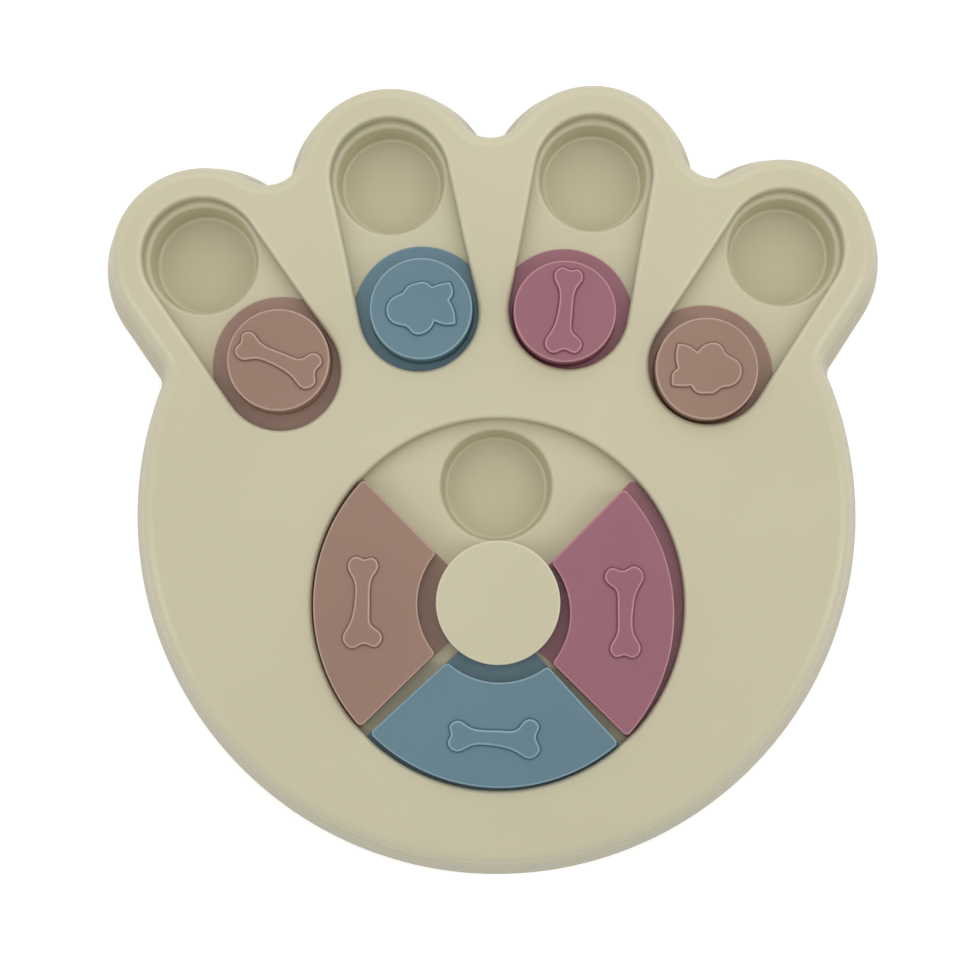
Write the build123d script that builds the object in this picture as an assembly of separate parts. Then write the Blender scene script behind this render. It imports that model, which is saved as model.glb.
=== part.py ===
from build123d import *
import os
from math import asin, cos, degrees, radians, sin, sqrt

# Paw-shaped puzzle feeder plate. A flared tray carries sunk treat wells and a flat track, and a
# screwed-on cover traps four toe sliders and three palm wedges, which are pushed aside to
# uncover the wells. Millimetres, +Z up, +Y towards the toes. The origin is on the floor, under
# the middle of the plate.

# Heights, from the floor up
foot_standoff = 1.4
tray_height = 18.6
cover_depth = 7.0
track_depth = 5.8
button_proud = 4.4
wedge_proud = 2.4
hub_proud = 2.8

# Walls, running clearances and small edges
tray_wall = 2.2
floor_wall = 2.2
cover_wall = 2.4
skirt_wall = 2.0
slider_wall = 2.2
slide_gap = 0.35
lift_gap = 0.3
register_gap = 0.25
screw_gap = 0.1
overrun = 1.0
level_match = 0.05

# Plan of the paw, measured at the cover's lower lip. The hub's distance from the palm's centre and
# the band between the window and the heel are shares of the palm's radius.
palm_radius = 112.2
palm_to_hub_share = 0.2736
heel_band_share = 0.205
fan_to_hub = 26.4
toe_lead = 54.26
toe_count = 4
toe_pitch = 22.6
toe_radius = 29.0
notch_radius = 11.5
heel_radius = 8.5
tray_flare = 4.8
tray_ledge = 0.7
shoulder_radius = 4.4
lip_edge = 0.5
rim_edge = 0.8

# Toe slots and the sliders that run in them
slot_half_width = 18.9
slot_edge = 1.6
button_gap = 2.7
button_edge = 0.7
flange_lip = 2.7
flange_gap = 4.4
flange_thickness = 1.0
flange_edge = 0.4

# Place of each slider at rest: share of its run from the inner stop, share of its side play
slider_names = ("outer_left", "inner_left", "inner_right", "outer_right")
slider_rest_shares = ((0.092, -0.737), (0.045, -0.509), (0.012, 0.588), (0.006, -0.133))
slider_motifs = ("bone", "fish", "bone", "fish")
slider_motif_turns = (67.2, -0.9, -5.7, 163.6)

# Palm window, hub and the wedges that turn round it
window_gap = 1.65
hub_cap_radius = 19.5
hub_gap = 4.7
hub_post_radius = 9.0
hub_seat_rise = 0.6
hub_boss_radius = 5.0
hub_edge = 0.7
wedge_places = 4
wedge_side_inset = 1.87
wedge_lip = 3.0
wedge_corner = 1.6
wedge_edge = 0.6

# Bearing of each wedge from +X, and its looseness at rest: share of the radial play, outwards or,
# if negative, inwards, share of the side gap anticlockwise, and share of the gap's angle that it is
# turned by
wedge_bearings = {"right": 0, "left": 180, "front": 270}
wedge_seat_shares = {
    "right": (-0.404, -0.86, -0.12),
    "left": (0.797, 0.09, -0.35),
    "front": (0.541, 0.13, -0.85),
}

# Treat wells, those of the palm named anticlockwise from +Y. A cup's rim is a share of the deck's
# band beside it.
palm_well_names = ("rear", "left", "front", "right")
well_depth = 10.8
toe_well_inset = 1.65
toe_well_setback = 0.6
palm_well_band = 1.8
well_hub_gap = 0.4
well_draft = 1.2
well_floor_fillet = 1.2
well_mouth_edge = 1.5
cup_wall = 2.0
cup_rim_share = 0.6

# Posts under the tray, each with a cover screw and the rubber foot that hides it
post_wall = 3.6
post_setback = 17.8
post_band_share = 0.4435
palm_post_bearings = (10, -40, -90, -140, 170)
foot_inset = 0.6
foot_thickness = 2.6
foot_edge = 0.5
spigot_fit = 0.1
spigot_gap = 3.9
screw_radius = 1.5
screw_head_radius = 2.8
screw_head_gap = 0.4
screw_head_height = 1.9
screw_seat_depth = 8.8
screw_tip_gap = 0.6
recess_width = 0.9
recess_depth = 1.0
boss_wall = 2.1
boss_floor = 0.6

# Raised motifs. A toe motif's length is a share of its button's width, and a wedge bone's length
# and its place are shares of the wedge's width from hub to window. Each outline is a closed
# smooth curve through points given as shares of the motif's length.
relief = 1.0
relief_edge = 0.45
toe_bone_share = 0.846
toe_fish_share = 0.676
wedge_bone_share = 0.876
wedge_bone_place_share = 0.533
bone_outline_shares = (
    (0.023, 0.474), (0.107, 0.492), (0.177, 0.406), (0.124, 0.289), (0.088, 0.129), (0.089, -0.078),
    (0.116, -0.251), (0.198, -0.316), (0.226, -0.390), (0.150, -0.482), (0.030, -0.446), (-0.086, -0.500),
    (-0.180, -0.425), (-0.136, -0.259), (-0.080, -0.065), (-0.066, 0.089), (-0.089, 0.258), (-0.150, 0.397),
    (-0.117, 0.481), (-0.050, 0.500),
)
fish_outline_shares = (
    (0.158, 0.312), (0.269, 0.351), (0.418, 0.378), (0.456, 0.199), (0.407, 0.113), (0.473, -0.022),
    (0.498, -0.227), (0.368, -0.243), (0.197, -0.193), (0.141, -0.293), (0.048, -0.365), (-0.052, -0.385),
    (-0.129, -0.354), (-0.185, -0.291), (-0.389, -0.221), (-0.499, -0.022), (-0.372, 0.175),
    (-0.273, 0.221), (-0.196, 0.315), (-0.096, 0.359), (0.064, 0.379),
)

# Levels that follow from the heights
rim_z = foot_standoff
ledge_z = rim_z + tray_height
cover_z = ledge_z + cover_depth
track_z = cover_z - track_depth
floor_z = track_z - floor_wall
plate_z = cover_z - cover_wall
flange_z = track_z + flange_thickness
skirt_z = flange_z + lift_gap
well_z = track_z - well_depth
screw_seat_z = track_z - screw_seat_depth
hub_seat_z = track_z + hub_seat_rise
hub_z = cover_z + hub_proud
cover_pilot_z = plate_z - boss_floor
hub_pilot_z = hub_z - cover_wall

# Palm fits that follow from the sizes
palm_to_hub = palm_radius * palm_to_hub_share
heel_band = palm_radius * heel_band_share
window_radius = palm_radius - palm_to_hub - heel_band
wedge_inner_radius = hub_cap_radius + hub_gap
wedge_outer_radius = window_radius - window_gap
wedge_width = wedge_outer_radius - wedge_inner_radius
wedge_play = window_gap - slide_gap
wedge_slack = hub_gap - slide_gap
lip_inner_radius = hub_cap_radius - wedge_lip
lip_outer_radius = window_radius + wedge_lip
side_gap = 2 * wedge_side_inset
side_gap_angle = degrees(side_gap / wedge_outer_radius)
palm_well_radius = (window_radius - hub_cap_radius) / 2 - palm_well_band
palm_well_reach = hub_cap_radius + well_hub_gap + palm_well_radius
palm_cup_radius = palm_well_radius + cup_wall
palm_cup_band = palm_well_reach * sin(radians(180 / wedge_places)) - palm_cup_radius
palm_rim_radius = palm_cup_radius + palm_cup_band * cup_rim_share

# Toe fits that follow from the sizes. At the inner stops the flanges clear one another and the
# wedges' lips, and the outer stops lead the palm's outline.
half_pitch = radians(toe_pitch / 2)
flange_radius = slot_half_width + flange_lip
button_radius = slot_half_width - button_gap
toe_well_radius = slot_half_width - toe_well_inset
toe_cup_radius = toe_well_radius + cup_wall
toe_cup_band = toe_radius - cover_wall - toe_cup_radius - register_gap
toe_rim_radius = toe_cup_radius + toe_cup_band * cup_rim_share
slot_play = button_gap - slide_gap
side_play = min(slot_play, flange_gap / 2 - slide_gap)
flanges_reach = (flange_radius + flange_gap / 2) / sin(half_pitch)
lips_reach = fan_to_hub + lip_outer_radius + wedge_play + flange_gap + flange_radius + slot_play
slot_inner_reach = max(flanges_reach, lips_reach)
slot_outer_reach = palm_radius + toe_lead
slot_travel = slot_outer_reach - slot_inner_reach

# Post, screw and foot fits that follow from the sizes
post_bore_radius = screw_head_radius + screw_head_gap
post_radius = post_bore_radius + post_wall
post_inset = heel_band * post_band_share
foot_radius = post_radius - foot_inset
spigot_radius = post_bore_radius - spigot_fit
spigot_z = screw_seat_z - screw_head_height - spigot_gap
boss_radius = screw_radius + boss_wall

# The origin lies midway between the toes' tips and the heel, at the tray's rim
toe_side = slot_outer_reach * sin(half_pitch)
toe_rise = slot_outer_reach * cos(half_pitch)
toes_end = toe_rise - fan_to_hub + toe_radius
heel_end = palm_to_hub - palm_radius
hub_y = -(toes_end + heel_end) / 2
fan_y = hub_y - fan_to_hub
palm_y = hub_y + palm_to_hub
hub = Vector(0, hub_y)
palm_centre = Vector(0, palm_y)

# Bearings of the toes and of the notches between them, anticlockwise from +Y
toe_bearings = [toe_pitch * ((toe_count - 1) / 2 - k) for k in range(toe_count)]
notch_bearings = [toe_pitch * (toe_count / 2 - k) for k in range(1, toe_count)]
notch_reach = toe_rise + sqrt((toe_radius + notch_radius) ** 2 - toe_side ** 2)


def fan_direction(bearing):
    """Unit vector at a bearing anticlockwise from +Y."""
    return Vector(-sin(radians(bearing)), cos(radians(bearing)))


def fan_point(reach, bearing):
    """Point at a reach and bearing from the toes' fan centre."""
    return Vector(0, fan_y) + fan_direction(bearing) * reach


def heel_centre(side):
    """Centre of the hollow corner between an outer toe and the palm; side is -1 or 1."""
    along = fan_direction(toe_bearings[0])
    outward = Vector(-along.Y, along.X)
    start = Vector(0, fan_y) + outward * (toe_radius + heel_radius)
    to_palm = palm_centre - start
    run = to_palm.dot(along)
    reach = palm_radius + heel_radius
    centre = start + along * (run + sqrt(reach ** 2 - to_palm.dot(to_palm) + run ** 2))
    return Vector(side * abs(centre.X), centre.Y)


def heel_arc(side, grow):
    """Ends and middle of a hollow corner, from the palm to the toe's straight side."""
    centre = heel_centre(side)
    radius = heel_radius - grow
    towards_palm = (palm_centre - centre).normalized()
    along = fan_direction(toe_bearings[0 if side < 0 else -1])
    towards_toe = Vector(along.Y, -along.X) * -side
    middle = (towards_palm + towards_toe).normalized()
    return [centre + way * radius for way in (towards_palm, middle, towards_toe)]


def paw_outline(grow, level):
    """Face with the paw's outline, grown outwards from the cover's lip, at a level."""
    toe_r = toe_radius + grow
    left_heel = heel_arc(-1, grow)
    right_heel = heel_arc(1, grow)
    edges = [ThreePointArc(*left_heel)]
    end = left_heel[-1]
    for k, bearing in enumerate(toe_bearings):
        toe = fan_point(slot_outer_reach, bearing)
        along = fan_direction(bearing)
        tip = toe + along * toe_r
        if k == 0:
            start = toe + Vector(-along.Y, along.X) * toe_r
            edges.append(Line(end, start))
        else:
            notch = fan_point(notch_reach, notch_bearings[k - 1])
            start = toe + (notch - toe).normalized() * toe_r
            root = notch - fan_direction(notch_bearings[k - 1]) * (notch_radius - grow)
            edges.append(ThreePointArc(end, root, start))
        if k == toe_count - 1:
            end = toe + Vector(along.Y, -along.X) * toe_r
        else:
            notch = fan_point(notch_reach, notch_bearings[k])
            end = toe + (notch - toe).normalized() * toe_r
        edges.append(ThreePointArc(start, tip, end))
    edges.append(Line(end, right_heel[-1]))
    edges.append(ThreePointArc(*reversed(right_heel)))
    bottom = palm_centre - Vector(0, palm_radius + grow)
    edges.append(ThreePointArc(right_heel[0], bottom, left_heel[0]))
    return Pos(0, 0, level) * make_face(edges)


def tray_grow(level):
    """How far the tray's flared wall stands outside the cover's lip at a level."""
    return tray_ledge + (tray_flare - tray_ledge) * (ledge_z - level) / tray_height


def disc(radius, low, high, place=Vector(0, 0)):
    """Upright cylinder between two levels."""
    return Pos(place.X, place.Y, low) * extrude(Circle(radius), high - low)


def rims(shape, level, radius=None):
    """Edges that lie flat at a level, all of them or those of one radius."""
    flat = [e for e in shape.edges() if e.bounding_box().size.Z < level_match]
    flat = [e for e in flat if abs(e.center().Z - level) < level_match]
    if radius is None:
        return flat
    rings = [e for e in flat if e.geom_type == GeomType.CIRCLE]
    return [e for e in rings if abs(e.radius - radius) < level_match]


def slot_face(half_width, bearing, level):
    """Stadium of a toe slot at a level."""
    stadium = SlotCenterToCenter(slot_travel, 2 * half_width, rotation=90)
    middle = slot_inner_reach + slot_travel / 2
    return Pos(0, fan_y, level) * Rot(0, 0, bearing) * Pos(0, middle) * stadium


def well_places():
    """Centre, mouth radius and rim radius of every treat well by its name."""
    wells = {}
    for name, bearing in zip(slider_names, toe_bearings):
        place = fan_point(slot_outer_reach - toe_well_setback, bearing)
        wells["toe_" + name] = (place, toe_well_radius, toe_rim_radius)
    for k, name in enumerate(palm_well_names):
        across = fan_direction(k * 360 / wedge_places)
        wells["palm_" + name] = (hub + across * palm_well_reach, palm_well_radius, palm_rim_radius)
    return wells


def post_places():
    """Centres of the posts: between the toes, then round the palm."""
    toe_reach = notch_reach - notch_radius - post_setback
    places = [fan_point(toe_reach, b) for b in notch_bearings]
    ring = palm_radius - post_inset
    for bearing in palm_post_bearings:
        places.append(palm_centre + Vector(cos(radians(bearing)), sin(radians(bearing))) * ring)
    return places


def frustum(low_radius, high_radius, low, high, edge, place):
    """Upright cone between two levels with its lower edge rounded."""
    cone = Cone(low_radius, high_radius, high - low, align=(Align.CENTER, Align.CENTER, Align.MIN))
    cone = fillet(rims(cone, 0), edge)
    return Pos(place.X, place.Y, low) * cone


def base_tray():
    """Flared wall of the tray, with the ledge that the cover stands on."""
    shell = loft([paw_outline(tray_flare, rim_z), paw_outline(tray_ledge, ledge_z)], ruled=True)
    shell = fillet(rims(shell, ledge_z), lip_edge)
    shell = fillet(rims(shell, rim_z), rim_edge)
    levels = (rim_z - overrun, floor_z)
    under = loft([paw_outline(tray_grow(z) - tray_wall, z) for z in levels], ruled=True)
    return shell - under - extrude(paw_outline(-cover_wall, floor_z), ledge_z - floor_z + overrun)


def track_deck():
    """Flat deck that rises inside the cover's lip, with the screw posts and the hub's post."""
    deck = extrude(paw_outline(-cover_wall, floor_z), ledge_z - floor_z)
    deck += extrude(paw_outline(-cover_wall - register_gap, ledge_z), track_z - ledge_z)
    for place in post_places():
        deck += disc(post_radius, foot_thickness, floor_z, place)
    deck += disc(hub_post_radius, floor_z - screw_head_height, hub_seat_z, hub)
    for place, _, rim_radius in well_places().values():
        deck -= disc(rim_radius, floor_z, track_z, place)
    for place in post_places():
        deck -= disc(post_bore_radius, foot_thickness, screw_seat_z, place)
        deck -= disc(screw_radius + screw_gap, screw_seat_z, track_z, place)
    deck -= disc(post_bore_radius, floor_z - screw_head_height, track_z, hub)
    deck -= disc(screw_radius + screw_gap, track_z, hub_seat_z, hub)
    return deck


def treat_cup(place, radius, rim_radius):
    """Treat well hanging from its flat rim in the deck, with a rounded mouth and floor."""
    low_radius = radius - well_draft
    cup_z = well_z - cup_wall
    outside = well_floor_fillet + cup_wall
    cup = frustum(low_radius + cup_wall, radius + cup_wall, cup_z, floor_z, outside, place)
    cup += disc(rim_radius, floor_z, track_z, place)
    cup -= frustum(low_radius, radius, well_z, track_z, well_floor_fillet, place)
    return fillet(rims(cup, track_z, radius), well_mouth_edge)


def top_cover():
    """Cover shell with the toe slots, the palm window, their skirts and the screw bosses."""
    shell = extrude(paw_outline(0, ledge_z), cover_depth)
    shell = fillet(rims(shell, cover_z), shoulder_radius)
    shell = fillet(rims(shell, ledge_z), lip_edge)
    hollow = extrude(paw_outline(-cover_wall, ledge_z - overrun), plate_z - ledge_z + overrun)
    hollow = fillet(rims(hollow, plate_z), shoulder_radius - cover_wall)
    cover = shell - hollow
    for bearing in toe_bearings:
        cover += extrude(slot_face(slot_half_width + skirt_wall, bearing, skirt_z), plate_z - skirt_z)
    cover += disc(window_radius + skirt_wall, skirt_z, plate_z, hub)
    for place in post_places():
        cover += disc(boss_radius, track_z, plate_z, place)
    for bearing in toe_bearings:
        cover -= extrude(slot_face(slot_half_width, bearing, skirt_z), cover_z - skirt_z)
    cover -= disc(window_radius, skirt_z, cover_z, hub)
    top = cover.faces().sort_by(Axis.Z)[-1]
    cover = fillet([e for wire in top.inner_wires() for e in wire.edges()], slot_edge)
    for place in post_places():
        cover -= disc(screw_radius + screw_gap / 2, track_z, cover_pilot_z, place)
    return cover


def hub_cap():
    """Round cap that holds the wedges' inner lips down."""
    cap = disc(hub_cap_radius, skirt_z, hub_z, hub)
    cap = fillet(rims(cap, hub_z), hub_edge)
    cap -= disc(hub_cap_radius - cover_wall, skirt_z, hub_pilot_z, hub)
    cap += disc(hub_boss_radius, hub_seat_z, hub_pilot_z, hub)
    cap -= disc(screw_radius + screw_gap / 2, hub_seat_z, hub_pilot_z, hub)
    return cap


def screw(place, seat_z, pilot_z):
    """Cross-head self-tapping screw, driven upwards from a seat to just short of a pilot's end."""
    body = disc(screw_radius, seat_z, pilot_z - screw_tip_gap, place)
    body += disc(screw_head_radius, seat_z - screw_head_height, seat_z, place)
    low_z = seat_z - screw_head_height
    for turn in (0, 90):
        bar = Rectangle(screw_head_radius, recess_width, rotation=turn)
        body -= Pos(place.X, place.Y, low_z) * extrude(bar, recess_depth)
    return body


def rubber_foot(place):
    """Rubber pad with a spigot that plugs a post's bore."""
    pad = fillet(rims(disc(foot_radius, 0, foot_thickness), 0), foot_edge)
    foot = pad + disc(spigot_radius, foot_thickness, spigot_z)
    return Pos(place.X, place.Y) * foot


def motif_face(outline_shares, length):
    """Flat face of a raised motif from the shares of its length."""
    points = [Vector(u * length, v * length) for u, v in outline_shares]
    return make_face(Spline(*points, periodic=True))


def raised(face, level):
    """Motif standing proud of a face at a level, with eased edges."""
    body = Pos(0, 0, level) * extrude(face, relief)
    return fillet(rims(body, level + relief), relief_edge)


def toe_motif(kind):
    """Motif face of a toe slider by its name."""
    width = 2 * button_radius
    if kind == "bone":
        return motif_face(bone_outline_shares, width * toe_bone_share)
    return motif_face(fish_outline_shares, width * toe_fish_share)


def slider(kind, turn):
    """Toe slider, hollow underneath, standing on the track at the origin."""
    height = cover_z + button_proud - track_z
    button = fillet(rims(disc(button_radius, 0, height), height), button_edge)
    flange = fillet(rims(disc(flange_radius, 0, flange_thickness), flange_thickness), flange_edge)
    body = button + flange
    body = fillet(rims(body, flange_thickness, button_radius), button_edge)
    body -= disc(button_radius - slider_wall, 0, height - slider_wall)
    return body + Rot(0, 0, turn) * raised(toe_motif(kind), height)


def slider_run(side):
    """Length that a slider can move beyond each end of its slot's centre line."""
    return sqrt(slot_play ** 2 - side ** 2)


def slider_place(k):
    """Resting place of a slider on its track."""
    run_share, side_share = slider_rest_shares[k]
    side = side_share * side_play
    end = slider_run(side)
    along = slot_inner_reach - end + run_share * (slot_travel + 2 * end)
    bearing = toe_bearings[k]
    across = fan_direction(bearing + 90)
    place = fan_point(along, bearing) + across * side
    return Pos(place.X, place.Y, track_z)


def sector_face(inner, outer, inset):
    """Ring sector about +X whose straight sides lie inside its quarter by an inset."""
    def corner(radius, side):
        angle = side * (radians(180 / wedge_places) - asin(inset / radius))
        return Vector(radius * cos(angle), radius * sin(angle))

    return make_face([
        Line(corner(inner, -1), corner(outer, -1)),
        ThreePointArc(corner(outer, -1), Vector(outer, 0), corner(outer, 1)),
        Line(corner(outer, 1), corner(inner, 1)),
        ThreePointArc(corner(inner, 1), Vector(inner, 0), corner(inner, -1)),
    ])


def rounded_sector(inner, outer, inset, height):
    """Upright ring sector with rounded corners."""
    body = extrude(sector_face(inner, outer, inset), height)
    return fillet(body.edges().filter_by(Axis.Z), wedge_corner)


def wedge():
    """Palm wedge about +X, hollow underneath, standing on the track round the origin."""
    height = cover_z + wedge_proud - track_z
    block = rounded_sector(wedge_inner_radius, wedge_outer_radius, wedge_side_inset, height)
    block = fillet(rims(block, height), wedge_edge)
    lips = rounded_sector(lip_inner_radius, lip_outer_radius, wedge_side_inset, flange_thickness)
    bore_inner = wedge_inner_radius + slider_wall
    bore_outer = wedge_outer_radius - slider_wall
    bore_face = sector_face(bore_inner, bore_outer, wedge_side_inset + slider_wall)
    body = block + lips - extrude(bore_face, height - slider_wall)
    bone = raised(motif_face(bone_outline_shares, wedge_width * wedge_bone_share), height)
    bone_reach = wedge_inner_radius + wedge_width * wedge_bone_place_share
    return body + Pos(bone_reach, 0) * Rot(0, 0, 180) * bone


def wedge_place(name):
    """Resting place of a wedge round the hub."""
    radial_share, side_share, turn_share = wedge_seat_shares[name]
    play = wedge_play if radial_share > 0 else wedge_slack
    seat = Pos(radial_share * play, side_share * side_gap)
    turn = Rot(0, 0, turn_share * side_gap_angle)
    return Pos(0, hub_y, track_z) * Rot(0, 0, wedge_bearings[name]) * seat * turn


def main():
    os.makedirs("parts", exist_ok=True)
    export_step(base_tray(), "parts/base_tray.step")
    export_step(track_deck(), "parts/track_deck.step")
    for name, well in well_places().items():
        export_step(treat_cup(*well), f"parts/treat_cup_{name}.step")
    export_step(top_cover(), "parts/top_cover.step")
    export_step(hub_cap(), "parts/hub_cap.step")
    export_step(screw(hub, track_z, hub_pilot_z), "parts/hub_screw.step")
    screws = [screw(p, screw_seat_z, cover_pilot_z) for p in post_places()]
    export_step(Compound(children=screws), "parts/cover_screws.step")
    for k, place in enumerate(post_places(), start=1):
        export_step(rubber_foot(place), f"parts/rubber_foot_{k}.step")
    for k, name in enumerate(slider_names):
        body = slider_place(k) * slider(slider_motifs[k], slider_motif_turns[k])
        export_step(body, f"parts/toe_slider_{name}.step")
    for name in wedge_bearings:
        export_step(wedge_place(name) * wedge(), f"parts/palm_wedge_{name}.step")


main()
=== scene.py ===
"""Looks of a paw-shaped puzzle feeder plate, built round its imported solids.

Sizes are in millimetres and turn into metres where a vertex is made. Every moulding is a closed
shell: rings of points swept along a profile, with flat faces between the rings.
"""

import logging
import math
from dataclasses import dataclass
from enum import Enum
from functools import cached_property
from typing import Any, Callable, Optional, Sequence, Union

import bmesh
import bpy
import numpy as np
from mathutils import Matrix, Vector, geometry


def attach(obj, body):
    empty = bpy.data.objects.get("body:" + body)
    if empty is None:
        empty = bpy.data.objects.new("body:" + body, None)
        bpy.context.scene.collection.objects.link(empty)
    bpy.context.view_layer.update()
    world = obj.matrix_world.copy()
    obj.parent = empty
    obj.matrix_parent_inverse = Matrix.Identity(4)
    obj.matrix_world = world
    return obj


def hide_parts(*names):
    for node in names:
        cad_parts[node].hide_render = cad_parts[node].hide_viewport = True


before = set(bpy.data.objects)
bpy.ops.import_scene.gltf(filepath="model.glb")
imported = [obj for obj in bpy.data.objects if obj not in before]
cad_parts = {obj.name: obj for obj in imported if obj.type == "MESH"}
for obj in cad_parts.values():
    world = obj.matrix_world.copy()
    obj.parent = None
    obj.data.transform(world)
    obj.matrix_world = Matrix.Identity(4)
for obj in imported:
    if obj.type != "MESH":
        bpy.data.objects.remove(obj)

LOG = logging.getLogger("feeder_plate")
MM = 0.001
WHITE = "FFFFFF"
# vertex attribute of painted light: above 0 a painted highlight, below 0 painted shade
PAINTED_LIGHT = "rub"
SHARP_EDGE = math.radians(38)
NORMAL_WEIGHT = 80
INSIDE_WITH_HOLES = 2
SAME_PLACE = 1e-6

Point = tuple[float, float]
Ring = list[bmesh.types.BMVert]
RingMaker = Callable[[float], list[Point]]
Socket = bpy.types.NodeSocket


def linear(hex_colour: str) -> tuple[float, float, float, float]:
    """Turns an sRGB hex colour to linear light.

    Args:
        hex_colour: six hex digits.

    Returns:
        Linear red, green and blue, and an opacity of 1.
    """
    shares = [int(hex_colour[i:i + 2], 16) / 255 for i in (0, 2, 4)]
    red, green, blue = [s / 12.92 if s <= 0.04045 else ((s + 0.055) / 1.055) ** 2.4 for s in shares]
    return red, green, blue, 1.0


def add_node(
    tree: bpy.types.NodeTree, kind: str, inputs: Optional[dict[Any, Any]] = None
) -> bpy.types.Node:
    """Adds a node.

    Args:
        tree: node tree that takes it.
        kind: the node type's identifier.
        inputs: values by property name, and values or output sockets by an input's name or index.

    Returns:
        The new node.
    """
    node = tree.nodes.new(kind)
    for key, value in (inputs or {}).items():
        if isinstance(value, Socket):
            tree.links.new(value, node.inputs[key])
        elif isinstance(key, str) and hasattr(node, key):
            setattr(node, key, value)
        else:
            node.inputs[key].default_value = value
    return node


class Skin:
    """Material under construction; its patterns follow the Object coordinates."""

    def __init__(self, name: str) -> None:
        """Starts an empty material.

        Args:
            name: the real material's name.
        """
        self.material = bpy.data.materials.new(name)
        self.material.use_nodes = True
        self.tree = self.material.node_tree
        self.tree.nodes.clear()

    def add(self, kind: str, output: Any, inputs: Optional[dict[Any, Any]] = None) -> Socket:
        """Adds a node as add_node does and gives one of its outputs."""
        return add_node(self.tree, kind, inputs).outputs[output]

    @cached_property
    def place(self) -> Socket:
        """Place on the piece."""
        return self.add("ShaderNodeTexCoord", "Object")

    def noise(self, size: float, detail: float) -> Socket:
        """Noise whose features are about size millimetres across."""
        inputs = {"Scale": 1.0 / (size * MM), "Detail": detail, "Vector": self.place}
        return self.add("ShaderNodeTexNoise", "Fac", inputs)

    def mix(self, share: Socket, low: Union[str, Socket], high: str) -> Socket:
        """Mixes two colours.

        Args:
            share: how much of the second one shows.
            low: the first one, as hex digits or a socket.
            high: the second one, as hex digits.

        Returns:
            The mixed colour.
        """
        first = linear(low) if isinstance(low, str) else low
        inputs = {"data_type": "RGBA", 0: share, 6: first, 7: linear(high)}
        return self.add("ShaderNodeMix", 2, inputs)

    def remap(self, value: Socket, source: Point, target: Point) -> Socket:
        """Moves a value from one range to another."""
        names = ("Value", "From Min", "From Max", "To Min", "To Max")
        return self.add("ShaderNodeMapRange", "Result", dict(zip(names, (value, *source, *target))))

    def scale_add(self, value: Socket, factor: float, plus: Union[float, Socket]) -> Socket:
        """Multiplies a value by a factor and adds another value."""
        inputs = {"operation": "MULTIPLY_ADD", 0: value, 1: factor, 2: plus}
        return self.add("ShaderNodeMath", "Value", inputs)

    def bump(self, height: Socket, depth: float, **under: Socket) -> Socket:
        """Bump of a depth in millimetres, over a Normal where one is given."""
        inputs = {"Strength": 1.0, "Distance": depth * MM, "Height": height, **under}
        return self.add("ShaderNodeBump", "Normal", inputs)

    def finish(self, inputs: dict[str, Any]) -> bpy.types.Material:
        """Closes the material with its surface shader.

        Args:
            inputs: the shader's values and sockets.

        Returns:
            The material.
        """
        surface = self.add("ShaderNodeBsdfPrincipled", "BSDF", inputs)
        add_node(self.tree, "ShaderNodeOutputMaterial", {"Surface": surface})
        return self.material


def around(middle: float, swing: float) -> Point:
    """Range that reaches as far below a value as above it."""
    return middle - swing, middle + swing


@dataclass(frozen=True)
class MouldedAbs:
    """ABS from a spark-eroded mould: satin, with painted highlights on rounded edges and painted
    shade in corners and hollows.

    Each noise is given by the size of its features and its detail.
    """

    name: str
    colour: str
    cloud: str
    # painted highlight colour, mixed in where the painted light attribute is above 0
    painted_highlight: str
    # painted shade colour, mixed in where the painted light attribute is below 0
    painted_shade: str
    ior: float = 1.53
    specular: float = 0.5
    # drop of the specular level where the painted shade lies
    shade_mattness: float = 1.0
    roughness: float = 0.36
    roughness_swing: float = 0.05
    # roughness drop where the painted highlight lies
    highlight_gloss: float = 0.10
    cloud_noise: Point = (46.0, 3.0)
    cloud_range: Point = (0.35, 0.65)
    flow_noise: Point = (17.0, 1.0)
    flow_depth: float = 0.012
    # the real grain is under 0.1 mm, which is less than a pixel, so it is drawn coarser
    grain_noise: Point = (0.75, 2.0)
    grain_range: Point = (0.3, 0.7)
    grain_depth: float = 0.006

    def material(self) -> bpy.types.Material:
        """Builds the satin moulded skin.

        Returns:
            The material.
        """
        skin = Skin(self.name)
        cloud, flow = skin.noise(*self.cloud_noise), skin.noise(*self.flow_noise)
        grain = skin.noise(*self.grain_noise)
        # painted light: above 0 mixes in the painted highlight colour and a little gloss, below 0
        # the painted shade colour and less specular
        rub = skin.add("ShaderNodeAttribute", "Fac", {"attribute_name": PAINTED_LIGHT})
        flip = {"operation": "MULTIPLY", "use_clamp": True, 0: rub, 1: -1.0}
        shade_share = skin.add("ShaderNodeMath", "Value", flip)
        colour = skin.mix(skin.remap(cloud, self.cloud_range, (0.0, 1.0)), self.colour, self.cloud)
        colour = skin.mix(shade_share, skin.mix(rub, colour, self.painted_highlight), self.painted_shade)
        dull = skin.remap(grain, self.grain_range, around(self.roughness, self.roughness_swing))
        waves = skin.bump(flow, self.flow_depth)
        return skin.finish({
            "IOR": self.ior,
            "Metallic": 0.0,
            "Base Color": colour,
            "Roughness": skin.scale_add(rub, -self.highlight_gloss, dull),
            "Specular IOR Level": skin.scale_add(shade_share, -self.shade_mattness, self.specular),
            "Normal": skin.bump(grain, self.grain_depth, Normal=waves),
        })


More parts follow.
